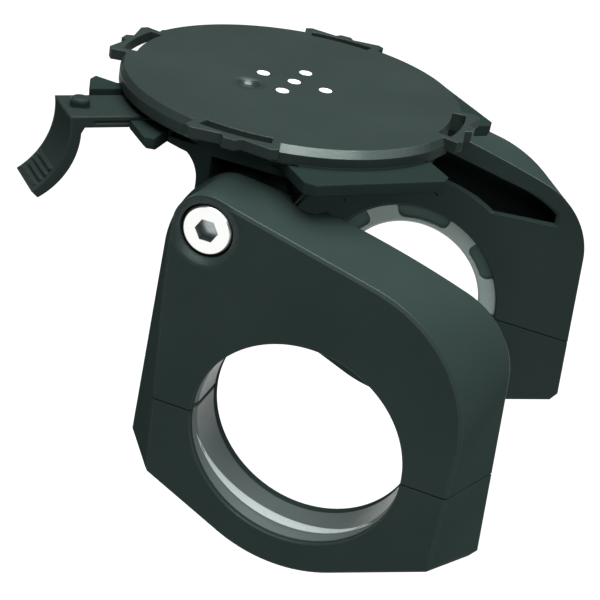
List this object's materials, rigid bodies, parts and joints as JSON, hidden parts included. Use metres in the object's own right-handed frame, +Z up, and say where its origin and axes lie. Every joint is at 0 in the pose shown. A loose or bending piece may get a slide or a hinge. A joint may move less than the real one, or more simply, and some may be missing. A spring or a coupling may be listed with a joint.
{
  "type": "bike phone mount",
  "caption": "Handlebar phone mount: a round bayonet plate with a release lever, on a neck that tilts between split clamps either side of the stem.",
  "frame": {"origin": "middle of the near handlebar clamp's bore, on the bar's axis", "axes": "+Y along the handlebar to the far clamp, +Z up, square to the phone plate at rest, +X away from the release lever"},
  "size_m": [0.0812, 0.0672, 0.0613],
  "materials": {
    "plate_plastic": "moulded, fine grain",
    "body_plastic": "moulded, fine grain",
    "lever_plastic": "moulded, fine grain",
    "clamp_plastic": "moulded, fine grain",
    "insert_plastic": "moulded, satin",
    "rivet_white": "smooth",
    "screw_steel": "bright, plain",
    "steel_pin": "ground",
    "spring_steel": "drawn wire",
    "insert_brass": "turned brass"
  },
  "bodies": {
    "clamps": {"near_clamp_upper": "clamp_plastic", "near_clamp_lower": "clamp_plastic", "far_clamp_upper": "clamp_plastic", "far_clamp_lower": "clamp_plastic", "near_clamp_screws": "screw_steel", "far_clamp_screws": "screw_steel", "near_liner_upper": "insert_plastic", "near_liner_lower": "insert_plastic", "far_reducer_upper": "insert_plastic", "far_reducer_lower": "insert_plastic"},
    "head": {"phone_plate": "plate_plastic", "plate_rivets": "rivet_white", "carrier": "body_plastic", "lever_pin": "steel_pin", "lever_spring": "spring_steel", "near_pivot_screw": "screw_steel", "far_pivot_screw": "screw_steel", "near_pivot_insert": "insert_brass", "far_pivot_insert": "insert_brass", "near_tilt_washer": "steel_pin", "far_tilt_washer": "steel_pin"},
    "lever": {"release_lever": "lever_plastic"}
  },
  "joints": [
    {"name": "plate_tilt", "type": "hinge", "parent": "clamps", "child": "head", "pos_m": [-0.0178, 0.0285, 0.0284], "axis": [0, 1, 0], "range_deg": [-30, 14]},
    {"name": "lever_press", "type": "hinge", "parent": "head", "child": "lever", "pos_m": [-0.02683, 0.02107, 0.03567], "axis": [0.7071, -0.7071, 0], "range_deg": [0, 8], "stiffness_Nm_per_rad": 0.5, "springref_deg": -3.44, "deforming": ["lever_spring"]}
  ]
}
